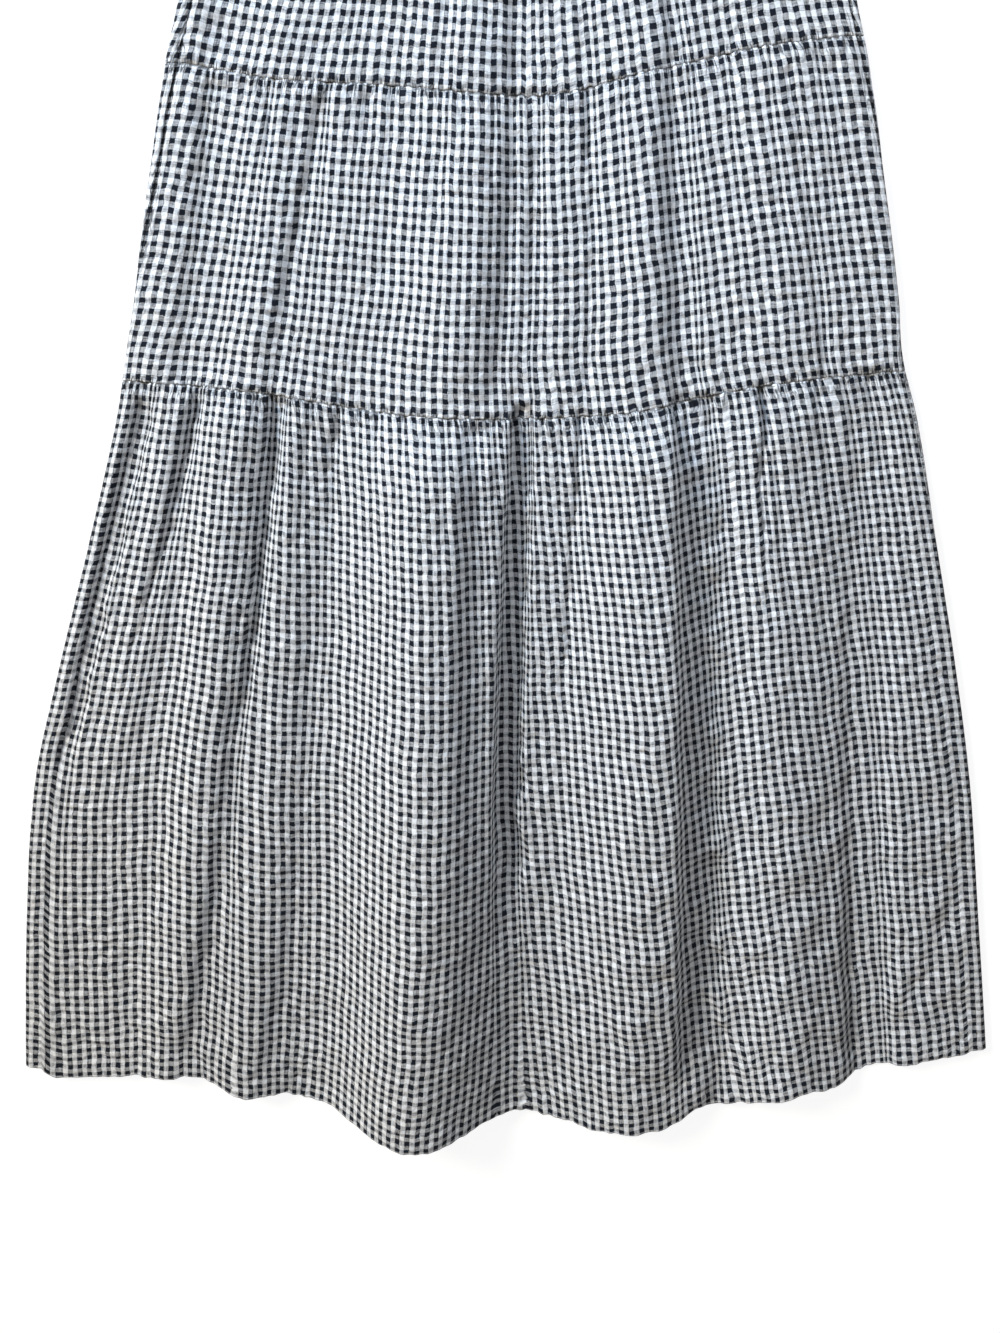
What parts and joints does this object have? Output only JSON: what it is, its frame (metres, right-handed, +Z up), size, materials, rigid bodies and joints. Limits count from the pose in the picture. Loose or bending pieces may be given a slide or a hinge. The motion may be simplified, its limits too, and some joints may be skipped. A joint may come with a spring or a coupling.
{
  "type": "tiered sundress laid flat",
  "caption": "Flat-laid sundress with shoulder straps, a gathered bodice and gathered tiers, in dark and white gingham seersucker.",
  "frame": {"origin": "on the surface under the middle of the laid dress", "axes": "+Y from the hem towards the neckline and straps, +X to the right with the front up, +Z up off the surface"},
  "size_m": [0.8282, 1.241, 0.0638],
  "materials": {
    "gingham": "matt crinkled cotton, small woven checks in near-black navy and white"
  },
  "bodies": {
    "root": {"bodice_front": "gingham", "bodice_back": "gingham", "upper_tier_front": "gingham", "upper_tier_back": "gingham", "lower_tier_front": "gingham", "lower_tier_back": "gingham", "strap_left": "gingham", "strap_right": "gingham"}
  },
  "joints": []
}
